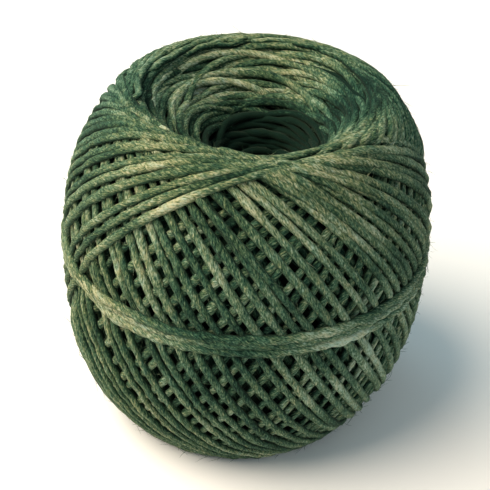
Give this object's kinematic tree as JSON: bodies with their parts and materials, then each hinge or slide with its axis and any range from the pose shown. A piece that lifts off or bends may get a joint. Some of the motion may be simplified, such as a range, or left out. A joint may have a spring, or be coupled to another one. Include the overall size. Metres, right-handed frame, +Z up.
{
  "type": "ball of twine",
  "caption": "Barrel-shaped ball of soft green garden twine with a funnelled hole down its axis and a band of turns around its waist.",
  "frame": {"origin": "centre of the flat spot the ball stands on, on the axis of its hole", "axes": "+Z up the hole's axis; -Y towards the side where the last turns cross the rim"},
  "size_m": [0.0918, 0.0918, 0.0836],
  "materials": {
    "twine": "dull, hairy, loosely twisted"
  },
  "bodies": {
    "root": {"ball": "twine"}
  },
  "joints": []
}
